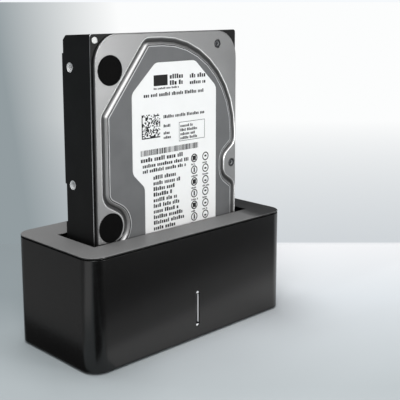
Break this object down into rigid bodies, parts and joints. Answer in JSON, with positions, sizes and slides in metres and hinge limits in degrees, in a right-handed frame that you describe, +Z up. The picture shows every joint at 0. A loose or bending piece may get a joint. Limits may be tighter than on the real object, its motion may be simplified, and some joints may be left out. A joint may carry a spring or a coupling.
{
  "type": "hard drive docking station",
  "caption": "Upright docking station: a rounded black box with a deep slot that holds a bare 3.5 inch hard drive on end, with rear data port, power inlet and rocker switch.",
  "frame": {"origin": "on the table, under the middle of the dock's footprint", "axes": "+X to the right along the front, +Y to the back, +Z up along the drive"},
  "size_m": [0.14, 0.0678, 0.1641],
  "materials": {
    "housing_black": "satin moulded black",
    "cover_black": "smooth dark grey-black",
    "inner_black": "plain moulded black",
    "foot_rubber": "matt",
    "screw_steel": "zinc plated",
    "board_green": "solder mask",
    "contact_gold": "gold plated",
    "chip_black": "moulded epoxy",
    "can_metal": "plain metal can",
    "capacitor_sleeve": "sleeved can",
    "ferrite": "grey ferrite",
    "lamp_white": "clear epoxy",
    "pipe_clear": "clear moulded",
    "port_shell": "nickel plated",
    "port_insert": "moulded blue",
    "casting_black": "die cast, black coating",
    "cover_sheet": "pressed bare sheet",
    "gasket_rubber": "matt",
    "dark_screw": "dark plated",
    "seal_black": "self adhesive foil",
    "foil_grey": "damping foil",
    "label_paper": "printed label stock",
    "pin_steel": "bare steel",
    "machined": "machined",
    "disc_mirror": "polished",
    "coil_copper": "enamelled winding",
    "yoke_nickel": "nickel plated"
  },
  "bodies": {
    "dock": {"housing": "housing_black", "top_cover": "cover_black", "drive_bay": "inner_black", "bay_screws": "screw_steel", "base_plate": "inner_black", "base_screws": "screw_steel", "rubber_feet": "foot_rubber", "main_board": "board_green", "board_screws": "screw_steel", "sata_receptacle": "inner_black", "sata_contacts": "contact_gold", "bridge_chip": "chip_black", "crystal": "can_metal", "capacitors": "capacitor_sleeve", "power_inductor": "ferrite", "status_lamp": "lamp_white", "light_pipe": "pipe_clear", "usb_port_shell": "port_shell", "usb_port_insert": "port_insert", "dc_jack_body": "inner_black", "dc_jack_pin": "pin_steel", "power_switch_body": "inner_black"},
    "rocker": {"power_rocker": "cover_black"},
    "drive": {"drive_casting": "casting_black", "drive_cover": "cover_sheet", "cover_gasket": "gasket_rubber", "cover_screws": "dark_screw", "seal_discs": "seal_black", "damper_foil": "foil_grey", "drive_label": "label_paper", "corner_pin": "pin_steel", "drive_board": "board_green", "drive_board_screws": "screw_steel", "drive_chips": "chip_black", "drive_plug": "inner_black", "plug_contacts": "contact_gold", "spindle_motor": "machined", "pivot_post": "pin_steel", "magnet_yokes": "yoke_nickel"},
    "disc_pack": {"spindle_hub": "machined", "platters": "disc_mirror", "disc_spacer": "machined", "disc_clamp": "machined"},
    "actuator": {"actuator_arm": "machined", "voice_coil": "coil_copper"}
  },
  "joints": [
    {"name": "drive_lift", "type": "slide", "parent": "dock", "child": "drive", "axis": [0, 0, 1], "range_m": [0, 0.05]},
    {"name": "rocker_tilt", "type": "hinge", "parent": "dock", "child": "rocker", "pos_m": [-0.02, 0.0296, 0.0129], "axis": [0, 0, -1], "range_deg": [0, 18]},
    {"name": "disc_spin", "type": "hinge", "parent": "drive", "child": "disc_pack", "pos_m": [-0.0021, -0.001, 0.1131], "axis": [0, 1, 0], "continuous": true},
    {"name": "actuator_swing", "type": "hinge", "parent": "drive", "child": "actuator", "pos_m": [-0.02293, -0.001, 0.06015], "axis": [0, -1, 0], "range_deg": [0, 28]}
  ]
}
